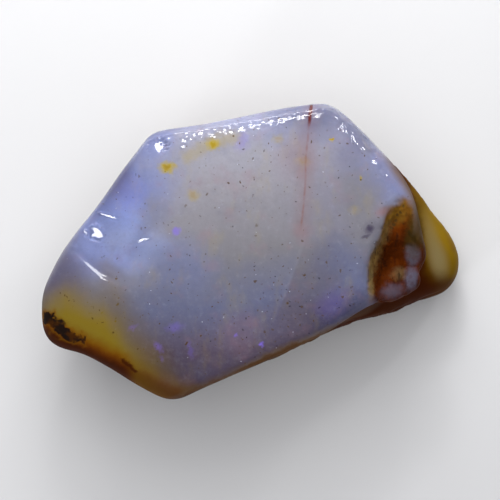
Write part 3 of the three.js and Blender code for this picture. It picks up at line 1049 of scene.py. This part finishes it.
    def lower_edge(self, colour, potch, ragged):
        """The front side under the lower edge, where milk thins to a golden band and to potch."""
        t = self.t
        side = t.across(self.flat, *FRONT_SIDE).step(-1.0, -0.2) * self.height.step(6.2, 7.0)
        worn = self.height + ragged
        band = t.path(self.ragged, LOWER_EDGE)
        wide = t.spot(self.flat, *LOWER_EDGE_SWELL, 0.5)
        core = (band - wide * 0.16).step(0.24, 0.06)
        low = (worn + ragged).step(TOP - 1.1, TOP - 1.9)
        return self.layers(
            colour,
            ("milk", side * self.below(0.03, 0.35) * 0.3),
            ("tan", side * worn.step(TOP - 0.4, TOP - 0.8) * 0.85),
            ("tan", band.step(0.7, 0.2) * (wide * 0.45 + 0.3)),
            ("umber", core * (wide * 0.35 + 0.45)),
            (potch, side * low * 0.9),
        )

    def hollow_zone(self, reach):
        """1 in the hollow's scoops, seen from above."""
        upper, lower = (
            self.t.spot(self.ragged, at, [reach * r for r in radii], turn, 0.15)
            for at, radii, turn in SCOOPS
        )
        return upper.most(lower)

    def hollow(self, colour):
        """The stains inside the hollow, and its grey-blue lumps."""
        t = self.t
        deep = self.below(0.25, 0.6) * self.height.step(7.4, 8.2)
        crust = t.noise(self.p, 1.6, 5.0, 0.65).step(0.62, 0.42)
        right, left = (t.spot(self.ragged, *lump, 0.5) for lump in LUMP_COLOURS)
        lumps = right.most(left)
        bare = 1 - lumps.most(t.spot(self.ragged, *BARE_LUMP, 0.5))
        veins = t.noise(t.scaled(self.flat, *VEINS), 1.1, 4.0, 0.6)
        stain = self.layers(
            self.c.brown,
            ("rust", t.noise(self.p, 1.3, 4.0).step(0.3, 0.6)),
            ("flame", t.noise(self.p, 2.3, 5.0, 0.65).step(0.5, 0.7) * 0.6),
            ("gold", self.y.step(1.6, 3.2) * 0.6),
        )
        stain = self.layers(
            self.patches(stain, self.torn, HOLLOW_PATCHES),
            ("lump", lumps * (crust * 0.3 + 0.65)),
            ("dark", veins.step(0.5, 0.7) * bare * 0.6),
            ("dark", t.noise(self.p, 3.2, 3.0).step(0.6, 0.7) * bare * 0.5),
        )
        colour = self.layers(colour, (stain, self.hollow_zone(1.0) * deep))
        colour = self.patches(colour, self.ragged, RIM_PATCHES, 0.8)
        dots = t.dots(self.ragged, HOLLOW_DOTS).step(0.16, 0.06)
        return self.layers(colour, ("speck", dots * 0.8))

    def bump(self):
        """Skin texture, in millimetres."""
        t = self.t
        height = t.noise(self.p, 2.2, 3.0) * 0.012 + t.noise(self.p, 9.0, 2.0) * 0.0015
        inputs = {"Height": height, "Distance": MM, "Strength": 1.0}
        return t.add("ShaderNodeBump", None, inputs).outputs[0]

    def dullness(self):
        """1 where the skin is worn or broken dull, 0 where it is polished."""
        t = self.t
        away = t.across(self.flat, *DULL_SIDE).step(-1.0, 1.0).most(self.x.step(8.6, 10.6))
        away = self.below(0.3, 0.9) * away
        flank = self.below(1.6, 2.6) * 0.45
        low = self.height.step(8.5, 6.5).most(t.spot(self.soft, *DULL_NOSE, 0.6))
        broken = self.hollow_zone(1.05) * self.below(0.2, 0.8)
        return flank.most(low).most(away).most(broken)

    def build(self):
        colour = self.crack(self.stains(self.flecks(self.milk())))
        colour = self.hollow(self.potch(self.honey(self.specks(colour))))
        dull = self.dullness()
        uneven = self.t.noise(self.p, 0.8, 4.0, 0.6) * 0.2 - 0.1
        beyond = self.t.across(self.flat, TOP_EDGE[0], TOP_EDGE_WAY).step(-0.15, 0.05)
        inputs = {
            "Base Color": colour,
            "Normal": self.bump(),
            "Roughness": dull * (0.45 + uneven) + 0.15,
            "Coat Weight": 1 - dull.most(beyond),
        }
        self.t.fill(self.t.shader, {**inputs, **FINISH})
        return self.t.material


# ---------------------------------------------------------------- operators


def new_object(name, mesh, material):
    made = bpy.data.objects.new(name, mesh)
    bpy.context.scene.collection.objects.link(made)
    mesh.materials.append(material)
    return made


class OPAL_OT_stone(bpy.types.Operator):
    """Makes the stone, with its wear and its colours"""

    bl_idname = "opal.stone"
    bl_label = "Make the stone"

    def execute(self, context):
        scene = context.scene
        material = Opal(scene.opal_colours).build()
        stone = new_object("opal_stone", stone_mesh(scene.opal_shape), material)
        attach(stone, "root")
        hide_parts(NODE)
        return {"FINISHED"}


def area_light(name, place, target, size, power, glossy=True):
    """A rectangular light at a place, facing a target, both in millimetres."""
    data = bpy.data.lights.new(name, "AREA")
    data.shape = "RECTANGLE"
    data.size, data.size_y = (side * MM for side in size)
    data.energy = power
    light = bpy.data.objects.new(name, data)
    light.location = Vector(place) * MM
    facing = (Vector(target) - Vector(place)).to_track_quat("-Z", "Y")
    light.rotation_euler = facing.to_euler()
    light.visible_glossy = glossy
    bpy.context.scene.collection.objects.link(light)


class OPAL_OT_stage(bpy.types.Operator):
    """Makes the floor, the lights and the camera"""

    bl_idname = "opal.stage"
    bl_label = "Make the stage"

    def execute(self, context):
        stage = context.scene.opal_stage
        bm = bmesh.new()
        bmesh.ops.create_grid(bm, x_segments=1, y_segments=1, size=stage.floor_size / 2)
        mesh = bpy.data.meshes.new("floor")
        bm.to_mesh(mesh)
        bm.free()
        tree = Tree("floor")
        inputs = {"Base Color": stage.floor_colour, "Roughness": stage.floor_roughness}
        tree.fill(tree.shader, inputs)
        new_object("floor", mesh, tree.material)

        world = bpy.data.worlds.new("studio")
        world.use_nodes = True
        backdrop = world.node_tree.nodes["Background"]
        backdrop.inputs["Color"].default_value = (*stage.sky_colour, 1.0)
        backdrop.inputs["Strength"].default_value = stage.sky_strength
        context.scene.world = world
        context.scene.view_settings.view_transform = "Standard"

        for name, light in SOFT_LIGHTS.items():
            area_light(name, *light, glossy=False)
        for name, glint in GLINTS.items():
            area_light(name + " glint", *glint)

        data = bpy.data.cameras.new("camera")
        data.sensor_width = stage.field / MM
        data.lens = stage.camera_height / MM
        data.clip_start = stage.camera_clip
        camera = bpy.data.objects.new("camera", data)
        x, y = (place * MM for place in VIEW_MIDDLE)
        camera.location = (x, y, HIGH.z + stage.camera_height)
        context.scene.collection.objects.link(camera)
        context.scene.camera = camera
        return {"FINISHED"}


class OPAL_PT_panel(bpy.types.Panel):
    """Lists the stone's and the stage's settings and operators"""

    bl_label = "Rough opal"
    bl_space_type = "VIEW_3D"
    bl_region_type = "UI"
    bl_category = "Opal"

    def draw(self, context):
        scene = context.scene
        for group in (scene.opal_shape, scene.opal_colours, scene.opal_stage):
            for name in group.__annotations__:
                self.layout.prop(group, name)
        for operator in (OPAL_OT_stone, OPAL_OT_stage):
            self.layout.operator(operator.bl_idname)


CLASSES = (OpalShape, OpalColours, OpalStage, OPAL_OT_stone, OPAL_OT_stage, OPAL_PT_panel)
GROUPS = {"opal_shape": OpalShape, "opal_colours": OpalColours, "opal_stage": OpalStage}


def register():
    for cls in CLASSES:
        bpy.utils.register_class(cls)
    for name, group in GROUPS.items():
        setattr(bpy.types.Scene, name, bpy.props.PointerProperty(type=group))


def unregister():
    for name in GROUPS:
        delattr(bpy.types.Scene, name)
    for cls in reversed(CLASSES):
        bpy.utils.unregister_class(cls)


def main():
    register()
    bpy.ops.opal.stone()
    bpy.ops.opal.stage()


if __name__ == "__main__":
    main()
